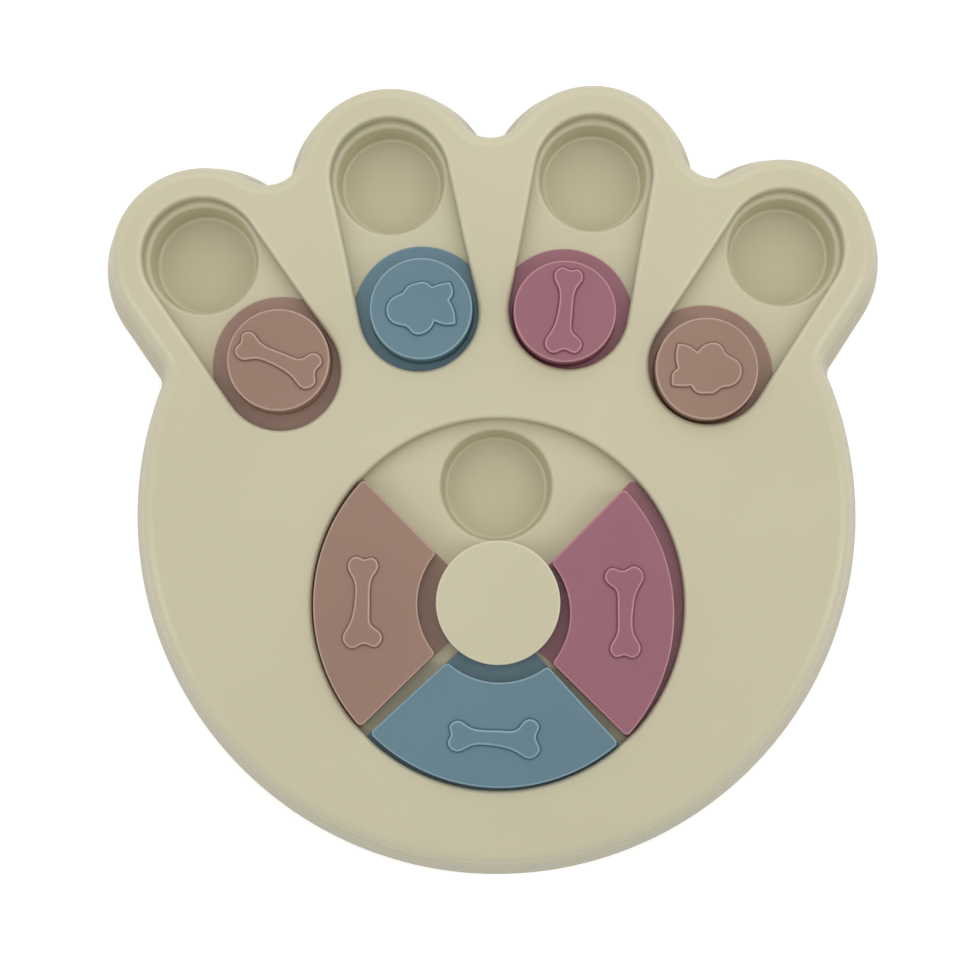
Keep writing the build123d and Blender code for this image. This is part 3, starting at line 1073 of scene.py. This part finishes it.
@dataclass(frozen=True)
class RaisedMotif:
    """Raised figure with soft edges; its outline is given as shares of its length.

    The outline is smooth but for the fish's sharp corners at its tail.
    """

    kind: Motif
    length: float
    relief: float = 1.0
    crown: float = 0.45
    crown_fade: float = 0.25
    # painted highlight on the figure's rounded crown
    crown_highlights: Point = (1.0, 0.7)
    crown_steps: int = 5
    root: float = 0.25
    # painted shade at the figure's root
    root_shades: Point = (-0.5, -0.4)
    root_steps: int = 3
    # width of the flat ring over which the painted shade fades out
    shade_width: float = 0.5
    corner_clear: float = 1.1
    steps: int = 9

    BONE_SHARES = (
        (0.023, 0.474), (0.107, 0.492), (0.177, 0.406), (0.124, 0.289), (0.088, 0.129),
        (0.089, -0.078), (0.116, -0.251), (0.198, -0.316), (0.226, -0.390), (0.150, -0.482),
        (0.030, -0.452), (-0.096, -0.500), (-0.200, -0.405), (-0.146, -0.259), (-0.087, -0.065),
        (-0.073, 0.089), (-0.096, 0.258), (-0.157, 0.397), (-0.117, 0.481), (-0.050, 0.500),
    )
    FISH_SHARES = (
        (0.158, 0.312), (0.269, 0.351), (0.418, 0.378), (0.456, 0.199), (0.407, 0.113),
        (0.473, -0.022), (0.498, -0.227), (0.368, -0.243), (0.197, -0.193), (0.141, -0.293),
        (0.048, -0.365), (-0.052, -0.385), (-0.129, -0.354), (-0.185, -0.291), (-0.389, -0.221),
        (-0.499, -0.022), (-0.372, 0.175), (-0.273, 0.221), (-0.196, 0.315), (-0.096, 0.359),
        (0.064, 0.379),
    )
    FISH_CORNERS = (0, 2, 4, 6, 8)

    def curve(self) -> np.ndarray:
        """Closed outline through the shares, smooth between its corners.

        Returns:
            Points in order, one row each, in millimetres.
        """
        is_bone = self.kind is Motif.BONE
        knots = np.array(self.BONE_SHARES if is_bone else self.FISH_SHARES) * self.length
        corners = [] if is_bone else list(self.FISH_CORNERS)
        count = len(knots)
        gaps = np.linalg.norm(np.roll(knots, -1, 0) - knots, axis=1)
        before = np.roll(gaps, 1)
        slopes = (np.roll(knots, -1, 0) - knots) / gaps[:, None]
        system = np.diag(2 * (before + gaps))
        for k in range(count):
            system[k, (k - 1) % count] += before[k]
            system[k, (k + 1) % count] += gaps[k]
        turns = 6 * (slopes - np.roll(slopes, 1, 0))
        system[corners], turns[corners] = np.eye(count)[corners], 0.0
        bends = np.linalg.solve(system, turns)
        points = []
        for k in range(count):
            after, h = (k + 1) % count, gaps[k]
            for t in np.arange(self.steps) / self.steps:
                u = 1 - t
                swell = (u ** 3 - u) * bends[k] + (t ** 3 - t) * bends[after]
                point = u * knots[k] + t * knots[after] + h * h / 6 * swell
                gap = np.linalg.norm(knots[corners] - point, axis=1).min(initial=math.inf)
                if gap == 0 or gap > self.corner_clear:
                    points.append(point)
        return np.array(points)

    def ring(self, place: Point, turn: float) -> RingMaker:
        """Ring maker for the outline, whose offset is measured outwards.

        Args:
            place: centre of the figure.
            turn: degrees anticlockwise.

        Returns:
            The ring maker.
        """
        angle = math.radians(turn)
        c, s = math.cos(angle), math.sin(angle)
        points = self.curve() @ np.array(((c, s), (-s, c))) + np.array(place)
        along = np.roll(points, -1, 0) - points
        lengths = np.linalg.norm(along, axis=1)[:, None]
        after = np.column_stack((along[:, 1], -along[:, 0])) / lengths
        before = np.roll(after, 1, 0)
        x, y = points.T
        area = np.sum(x * np.roll(y, -1) - np.roll(x, -1) * y)
        mitre = np.sign(area) * (before + after) / (1 + np.sum(before * after, axis=1))[:, None]
        return lambda offset: [tuple(p) for p in points + mitre * offset]

    def raise_on(self, shell: Shell, face: Ring, level: float, place: Point, turn: float) -> None:
        """Raises the figure out of a flat face.

        Args:
            shell: moulding that takes it.
            face: boundary of the flat face.
            level: the face's height.
            place: centre of the figure.
            turn: degrees anticlockwise.
        """
        root, crown, top = self.root, self.crown, level + self.relief
        profile = path((root + self.shade_width, level))
        profile += bend((root, level + root), root, -90, -180, self.root_steps, *self.root_shades)
        profile += bend((-crown, top - crown), crown, 0, 90, self.crown_steps, *self.crown_highlights)
        profile += path((-crown - self.crown_fade, top))
        first, last = shell.sweep(self.ring(place, turn), profile)
        shell.fill(face, [first])
        shell.fill(last)


@dataclass
class ToeSlider:
    """Round button that slides in a toe slot, with its flange and a raised figure.

    Its rest is given as shares of its travel and of its side play. It lies a hair above the track.
    """

    plan: PawPlan
    levels: Levels
    name: str
    bearing: float
    rest_shares: Point
    motif: RaisedMotif
    motif_turn: float
    radius: float = 16.2
    proud: float = 4.4
    edge: float = 0.7
    # painted highlight on the button's rounded top edge
    edge_highlight: float = 1.0
    flange_edge: float = 0.4
    # painted highlight on the flange's rounded top edge
    flange_highlight: float = 0.6
    flange_steps: int = 6
    wall: float = 2.2
    seat_gap: float = 0.03
    steps: int = 144

    def place(self) -> Point:
        """Resting place of the slider's axis.

        Returns:
            The place in plan.
        """
        plan, (run_share, side_share) = self.plan, self.rest_shares
        play = plan.slot_half_width - self.radius - plan.slide_gap
        side = side_share * min(play, plan.flange_gap / 2 - plan.slide_gap)
        end = math.sqrt(play ** 2 - side ** 2)
        reach = plan.inner_reach - end + run_share * (plan.slot_travel + 2 * end)
        return plan.fan_point(reach, self.bearing, side)

    def build(self, material: bpy.types.Material) -> bpy.types.Object:
        """Builds the slider.

        Args:
            material: its finish.

        Returns:
            The finished piece.
        """
        lv, shell, place = self.levels, Shell(), self.place()
        top, foot = lv.cover + self.proud, lv.track + self.seat_gap
        bore, radius, outer = self.radius - self.wall, self.radius, self.plan.flange_radius
        edge, lip = self.edge, self.flange_edge
        profile = path((bore, top - self.wall), (bore, foot), (outer, foot))
        steps, low = self.flange_steps, lv.flange_top
        profile += bend((outer - lip, low - lip), lip, 0, 90, steps, self.flange_highlight)
        profile += bend((radius + edge, low + edge), edge, -90, -180, steps)
        profile += bend((radius - edge, top - edge), edge, 0, 90, rub=self.edge_highlight)
        first, last = shell.sweep(circle(place, self.steps), profile)
        shell.fill(first)
        self.motif.raise_on(shell, last, top, place, self.motif_turn)
        return shell.to_object(f"slider_moulding_{self.name}", material)


@dataclass
class PalmWedge:
    """Quarter-ring block that turns round the hub, with its captive lips and a raised bone.

    Its seat is given as shares of its play outwards, of its play sideways and of its skew.
    """

    plan: PawPlan
    levels: Levels
    name: str
    bearing: float
    seat_shares: tuple[float, float, float]
    motif: RaisedMotif
    motif_reach: float = 41.6
    motif_turn: float = 180.0
    window_gap: float = 1.65
    hub_gap: float = 4.7
    side_inset: float = 1.87
    step: float = 0.03
    lip: float = 3.0
    corner: float = 1.6
    edge: float = 0.6
    # painted highlight on the block's rounded top edge
    edge_highlight: float = 1.0
    proud: float = 2.4
    wall: float = 2.2
    corner_steps: int = 8
    outer_steps: int = 48
    inner_steps: int = 32

    @property
    def inner(self) -> float:
        """Radius of the block's inner arc."""
        return self.plan.hub_cap_radius + self.hub_gap

    @property
    def outer(self) -> float:
        """Radius of the block's outer arc."""
        return self.plan.window_radius - self.window_gap

    def place(self) -> Matrix:
        """Resting place of the wedge round the hub.

        Returns:
            The move from a wedge round the origin that points along +X.
        """
        radial, side, turn = self.seat_shares
        play = (self.window_gap if radial > 0 else self.hub_gap) - self.plan.slide_gap
        gap = 2 * self.side_inset
        hub = Matrix.Translation((0.0, self.plan.hub[1] * MM, 0.0))
        seat = Matrix.Translation((radial * play * MM, side * gap * MM, 0.0))
        bearing = Matrix.Rotation(math.radians(self.bearing), 4, "Z")
        return hub @ bearing @ seat @ Matrix.Rotation(turn * gap / self.outer, 4, "Z")

    def sector(self, inner: float, outer: float, inset: float) -> RingMaker:
        """Ring maker for a ring sector with rounded corners, whose offset is measured outwards.

        Args:
            inner: radius of its inner arc.
            outer: radius of its outer arc.
            inset: distance of its straight sides inside the quarter.

        Returns:
            The ring maker.
        """
        middle, far, near = (0.0, 0.0), outer - self.corner, inner + self.corner
        a, b = [math.pi / 4 - math.asin((inset + self.corner) / r) for r in (far, near)]
        up, low = 0.75 * math.pi, 1.25 * math.pi

        def ring(offset: float) -> list[Point]:
            def corner(reach: float, angle: float, start: float, stop: float) -> list[Point]:
                centre = (reach * math.cos(angle), reach * math.sin(angle))
                return whole_arc(centre, self.corner + offset, start, stop, self.corner_steps)

            points = arc_points(middle, outer + offset, -a, a, self.outer_steps)
            points += corner(far, a, a, up) + corner(near, b, up, math.pi + b)[:-1]
            points += arc_points(middle, inner - offset, b, -b, self.inner_steps)
            points += corner(near, -b, math.pi - b, low) + corner(far, -a, low, math.tau - a)[:-1]
            return points

        return ring

    def build(self, material: bpy.types.Material) -> bpy.types.Object:
        """Builds the wedge.

        Args:
            material: its finish.

        Returns:
            The finished piece.
        """
        lv, plan, shell, wall, edge = self.levels, self.plan, Shell(), self.wall, self.edge
        top, inset = lv.cover + self.proud, self.side_inset
        lips = self.sector(plan.hub_cap_radius - self.lip, plan.window_radius + self.lip, inset)
        block = self.sector(self.inner, self.outer, inset + self.step)
        bore = self.sector(self.inner + wall, self.outer - wall, inset + wall)
        base, lip_ring = shell.sweep(lips, path((0.0, lv.track), (0.0, lv.flange_top)))
        high = path((0.0, lv.flange_top))
        high += bend((-edge, top - edge), edge, 0, 90, rub=self.edge_highlight)
        root, crown = shell.sweep(block, high)
        shell.fill(lip_ring, [root])
        mouth, ceiling = shell.sweep(bore, path((0.0, lv.track), (0.0, top - wall)))
        shell.fill(base, [mouth])
        shell.fill(ceiling)
        self.motif.raise_on(shell, crown, top, (self.motif_reach, 0.0), self.motif_turn)
        return shell.to_object(f"wedge_moulding_{self.name}", material, self.place())


@dataclass
class PostSet:
    """Geometry Nodes tree that sets copies of one small piece under the screw posts."""

    seed: int = 11

    SOCKETS = (
        ("Places", "INPUT", "Geometry"), ("Piece", "INPUT", "Object"),
        ("Most Turn", "INPUT", "Float"), ("Seed", "INPUT", "Int"),
        ("Finish", "INPUT", "Material"), ("Copies", "OUTPUT", "Geometry"),
    )

    def tree(self) -> bpy.types.NodeTree:
        """Builds the tree.

        Returns:
            Tree with inputs for the places, the piece, the spread of its turns and its finish.
        """
        tree = bpy.data.node_groups.new("set_under_posts", "GeometryNodeTree")
        for title, way, kind in self.SOCKETS:
            tree.interface.new_socket(title, in_out=way, socket_type="NodeSocket" + kind)

        def add(kind: str, output: Any, inputs: dict[Any, Any]) -> Socket:
            return add_node(tree, kind, inputs).outputs[output]

        given = add_node(tree, "NodeGroupInput").outputs
        source = {"As Instance": True, "Object": given["Piece"]}
        piece = add("GeometryNodeObjectInfo", "Geometry", source)
        spread = {"data_type": "FLOAT", 3: given["Most Turn"], "Seed": given["Seed"]}
        turn = add("FunctionNodeRandomValue", 1, spread)
        spin = add("ShaderNodeCombineXYZ", "Vector", {"Z": turn})
        layout = {"Points": given["Places"], "Instance": piece, "Rotation": spin}
        copies = add("GeometryNodeInstanceOnPoints", "Instances", layout)
        real = add("GeometryNodeRealizeInstances", "Geometry", {"Geometry": copies})
        dress = {"Geometry": real, "Material": given["Finish"]}
        dressed = add("GeometryNodeSetMaterial", "Geometry", dress)
        add_node(tree, "NodeGroupOutput", {"Copies": dressed})
        return tree

    def build(
        self, name: str, master: bpy.types.Object, places: Sequence[Point], most_turn: float
    ) -> bpy.types.Object:
        """Sets copies of a piece under the posts.

        Args:
            name: name of the result.
            master: the piece to copy, made on the floor at the origin; it is removed.
            places: the posts' centres.
            most_turn: largest turn of a copy in radians.

        Returns:
            One plain mesh with all the copies, in the master's finish.
        """
        mesh = bpy.data.meshes.new(name + "_places")
        mesh.from_pydata([(x * MM, y * MM, 0.0) for x, y in places], [], [])
        piece, tree = add_object(name, mesh), self.tree()
        setter = piece.modifiers.new("set_under_posts", "NODES")
        setter.node_group = tree
        values = {"Piece": master, "Most Turn": most_turn, "Seed": self.seed}
        values["Finish"] = master.data.materials[0]
        for item in tree.interface.items_tree:
            if item.in_out == "INPUT" and item.name in values:
                setter[item.identifier] = values[item.name]
        plain_mesh(piece)
        bpy.data.objects.remove(master)
        bpy.data.node_groups.remove(tree)
        return piece


@dataclass
class RubberFoot:
    """Rubber pad with a spigot and a ring of grip on its underside."""

    radius: float = 6.2
    thickness: float = 2.6
    edge: float = 0.5
    spigot_radius: float = 3.1
    spigot_length: float = 4.0
    grip_radius: float = 3.4
    grip_depth: float = 0.35
    grip_width: float = 0.7
    steps: int = 48

    def build(self, material: bpy.types.Material) -> bpy.types.Object:
        """Builds one foot at the origin.

        Args:
            material: its finish.

        Returns:
            The finished master.
        """
        shell, edge, high, depth = Shell(), self.edge, self.thickness, self.grip_depth
        grip, groove = self.grip_radius, self.grip_radius + self.grip_width
        tip = high + self.spigot_length
        profile = path((grip, 0.0), (grip + depth / 2, depth))
        profile += path((groove, depth), (groove + depth / 2, 0.0))
        profile += bend((self.radius - edge, edge), edge, -90, 0, steps=5)
        profile += path((self.radius, high), (self.spigot_radius, high))
        profile += bend((self.spigot_radius - edge, tip - edge), edge, 0, 90, steps=4)
        for ring in shell.sweep(circle((0.0, 0.0), self.steps), profile):
            shell.fill(ring)
        return shell.to_object("foot_master", material)


@dataclass
class CrossScrew:
    """Pan-head self-tapping screw with a cross recess, head down."""

    seat: float
    tip: float
    radius: float = 1.5
    root: float = 1.12
    point_share: float = 1 / 3
    pitch: float = 1.3
    head_radius: float = 2.8
    head_height: float = 1.9
    dome: float = 0.8
    recess_width: float = 0.9
    recess_depth: float = 1.0
    recess_taper_share: float = 0.8
    steps: int = 32

    def build(self, material: bpy.types.Material) -> bpy.types.Object:
        """Builds one screw at the origin.

        Args:
            material: its finish.

        Returns:
            The finished master.
        """
        shell, seat, pitch = Shell(), self.seat, self.pitch
        low = seat - self.head_height
        profile = bend((self.head_radius - self.dome, low + self.dome), self.dome, -90, 0, steps=6)
        profile += path((self.head_radius, seat), (self.root, seat))
        for k in range(int((self.tip - seat - pitch) / pitch)):
            start = seat + pitch * (k + 0.5)
            profile += path((self.root, start), (self.radius, start + pitch / 2))
        profile += path((self.root, self.tip - pitch), (self.root * self.point_share, self.tip))
        first, last = shell.sweep(circle((0.0, 0.0), self.steps), profile)
        shell.fill(last)
        far, near = self.head_radius / 2, self.recess_width / 2
        arms = [(far, near), (near, near), (near, far), (-near, far), (-near, near), (-far, near)]
        cross = np.array(arms + [(-x, -y) for x, y in arms])
        mouth = shell.ring(cross, low)
        floor = shell.ring(cross * self.recess_taper_share, low + self.recess_depth)
        shell.join(mouth, floor)
        shell.fill(first, [mouth])
        shell.fill(floor)
        return shell.to_object("screw_master", material)


def shown_share(tree: bpy.types.NodeTree) -> Socket:
    """Share of a ray that sees the background: 1 from the camera, a mirror or glass, else 0.

    Args:
        tree: node tree that takes the nodes.

    Returns:
        The share's output socket.
    """
    path_kinds = add_node(tree, "ShaderNodeLightPath").outputs
    share = path_kinds["Is Camera Ray"]
    for kind in ("Is Glossy Ray", "Is Transmission Ray"):
        either = {"operation": "MAXIMUM", 0: share, 1: path_kinds[kind]}
        share = add_node(tree, "ShaderNodeMath", either).outputs[0]
    return share


@dataclass(frozen=True)
class Softbox:
    """Soft lamp that faces the plate: its place, its width and height, and its power in watts."""

    name: str
    place: tuple[float, float, float]
    size: Point
    power: float


@dataclass
class Studio:
    """Pale floor, soft lamps and the camera over the plate."""

    focal_pixels: float = 2325.0
    image_pixels: float = 980.0
    sensor: float = 36.0
    clip_range: Point = (0.05, 20.0)
    tilt: float = 4.9
    roll: float = 0.85
    distance: float = 732.3
    target: tuple[float, float, float] = (-2.0, -6.6, 27.0)
    world_strength: float = 0.63
    floor_colour: str = "C4C4C2"
    floor_roughness: float = 0.9
    floor_specular: float = 0.1
    floor_lift: float = 0.66
    floor_size: float = 6000.0
    lamp_aim: tuple[float, float, float] = (0.0, 0.0, 20.0)

    LAMPS = (
        Softbox("right_softbox", (660.0, -110.0, 640.0), (160.0, 640.0), 1.15),
        Softbox("left_softbox", (-660.0, -110.0, 640.0), (160.0, 640.0), 1.05),
        Softbox("rear_softbox", (40.0, 400.0, 430.0), (900.0, 400.0), 0.9),
        Softbox("overhead_softbox", (0.0, 120.0, 1150.0), (500.0, 500.0), 0.6),
    )

    def camera(self) -> None:
        """Puts the camera over the plate, tipped a little towards the heel and rolled."""
        lens = bpy.data.cameras.new("studio_camera")
        lens.sensor_width = self.sensor
        lens.lens = self.sensor * self.focal_pixels / self.image_pixels
        lens.clip_start, lens.clip_end = self.clip_range
        camera = add_object("studio_camera", lens)
        tip = Matrix.Rotation(math.radians(self.tilt), 4, "X")
        back = Matrix.Translation((0.0, 0.0, self.distance * MM))
        turn = Matrix.Rotation(math.radians(-self.roll), 4, "Z")
        camera.matrix_world = Matrix.Translation(Vector(self.target) * MM) @ tip @ back @ turn
        bpy.context.scene.camera = camera

    def floor(self) -> None:
        """Lays the pale floor, which shows white."""
        half = self.floor_size / 2 * MM
        corners = [(-half, -half, 0), (half, -half, 0), (half, half, 0), (-half, half, 0)]
        mesh = bpy.data.meshes.new("floor")
        mesh.from_pydata(corners, [], [(0, 1, 2, 3)])
        skin = Skin("white_paper_floor")
        shown = {"operation": "MULTIPLY", 0: shown_share(skin.tree), 1: self.floor_lift}
        paper = skin.finish({
            "Base Color": linear(self.floor_colour),
            "Roughness": self.floor_roughness,
            "Specular IOR Level": self.floor_specular,
            "Emission Color": linear(WHITE),
            "Emission Strength": skin.add("ShaderNodeMath", "Value", shown),
        })
        mesh.materials.append(paper)
        add_object("floor", mesh)

    def world(self) -> None:
        """Lights the room evenly and shows it white."""
        world = bpy.data.worlds.new("studio_room")
        world.use_nodes = True
        tree = world.node_tree
        tree.nodes.clear()
        inputs = {0: shown_share(tree)}
        for index, strength in ((1, self.world_strength), (2, 1.0)):
            light = {"Color": linear(WHITE), "Strength": strength}
            inputs[index] = add_node(tree, "ShaderNodeBackground", light).outputs[0]
        either = add_node(tree, "ShaderNodeMixShader", inputs)
        add_node(tree, "ShaderNodeOutputWorld", {"Surface": either.outputs[0]})
        bpy.context.scene.world = world

    def hang(self, box: Softbox) -> None:
        """Hangs a soft lamp.

        Args:
            box: the lamp.
        """
        light = bpy.data.lights.new(box.name, "AREA")
        light.shape = "RECTANGLE"
        light.size, light.size_y = box.size[0] * MM, box.size[1] * MM
        light.energy = box.power
        lamp = add_object(box.name, light)
        lamp.location = Vector(box.place) * MM
        lamp.rotation_mode = "QUATERNION"
        way = Vector(self.lamp_aim) * MM - lamp.location
        lamp.rotation_quaternion = way.to_track_quat("-Z", "Y")

    def build(self) -> None:
        """Sets up the whole studio."""
        bpy.context.scene.view_settings.view_transform = "Standard"
        self.camera()
        self.floor()
        self.world()
        for box in self.LAMPS:
            self.hang(box)
        LOG.info("studio set up")


TOE_BONE = RaisedMotif(Motif.BONE, 27.4)
TOE_FISH = RaisedMotif(Motif.FISH, 21.9)
PALM_BONE = RaisedMotif(Motif.BONE, 28.6)
SLIDERS = (
    ("outer_left", (0.092, -0.737), TOE_BONE, 67.2, Finish.BROWN),
    ("inner_left", (0.045, -0.509), TOE_FISH, -0.9, Finish.BLUE),
    ("inner_right", (0.012, 0.588), TOE_BONE, -5.7, Finish.MAUVE),
    ("outer_right", (0.006, -0.133), TOE_FISH, 163.6, Finish.BROWN),
)
WEDGES = (
    ("right", 0.0, (-0.404, -0.86, -0.12), Finish.MAUVE),
    ("left", 180.0, (0.797, 0.09, -0.35), Finish.BROWN),
    ("front", 270.0, (0.541, 0.13, -0.85), Finish.BLUE),
)
CUPS = [f"treat_cup_toe_{row[0]}" for row in SLIDERS]
CUPS += [f"treat_cup_palm_{name}" for name in ("rear", "left", "front", "right")]
COVER_SCREW_CLEARANCE = 1.2
HUB_SCREW_CLEARANCE = 0.2
HUB_SCREW_TURN = 0.6


def main() -> None:
    """Builds every piece, hands it to its body and sets up the studio."""
    logging.basicConfig(level=logging.INFO, format="%(name)s: %(message)s")
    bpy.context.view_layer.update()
    palette = {finish: recipe.material() for finish, recipe in RECIPES.items()}
    plan, levels = PawPlan(), Levels()
    cream, rubber, steel = [palette[f] for f in (Finish.CREAM, Finish.RUBBER, Finish.STEEL)]
    tray = BaseTray(plan, levels).build(cream)
    hand_over(tray, "plate", Finish.CREAM, "base_tray", "track_deck", *CUPS)
    hand_over(TopCover(plan, levels).build(cream), "plate", Finish.CREAM, "top_cover")
    hand_over(HubCap(plan, levels).build(cream), "plate", Finish.CREAM, "hub_cap")
    for (name, rest, motif, turn, finish), bearing in zip(SLIDERS, plan.toe_bearings):
        slider = ToeSlider(plan, levels, name, bearing, rest, motif, turn)
        hand_over(slider.build(palette[finish]), f"slider_{name}", finish, f"toe_slider_{name}")
    for name, bearing, seat, finish in WEDGES:
        wedge = PalmWedge(plan, levels, name, bearing, seat, PALM_BONE)
        hand_over(wedge.build(palette[finish]), f"wedge_{name}", finish, f"palm_wedge_{name}")
    setter, posts = PostSet(), plan.posts()
    feet = setter.build("rubber_feet", RubberFoot().build(rubber), posts, math.tau)
    hand_over(feet, "plate", Finish.RUBBER, *[f"rubber_foot_{k + 1}" for k in range(len(posts))])
    screw = CrossScrew(levels.screw_seat, levels.plate - COVER_SCREW_CLEARANCE).build(steel)
    screws = setter.build("tapping_screws", screw, posts, math.tau)
    hand_over(screws, "plate", Finish.STEEL, "cover_screws")
    screw = CrossScrew(levels.track, levels.cover - HUB_SCREW_CLEARANCE).build(steel)
    screws = setter.build("hub_tapping_screw", screw, [plan.hub], HUB_SCREW_TURN)
    hand_over(screws, "plate", Finish.STEEL, "hub_screw")
    Studio().build()


if __name__ == "__main__":
    main()
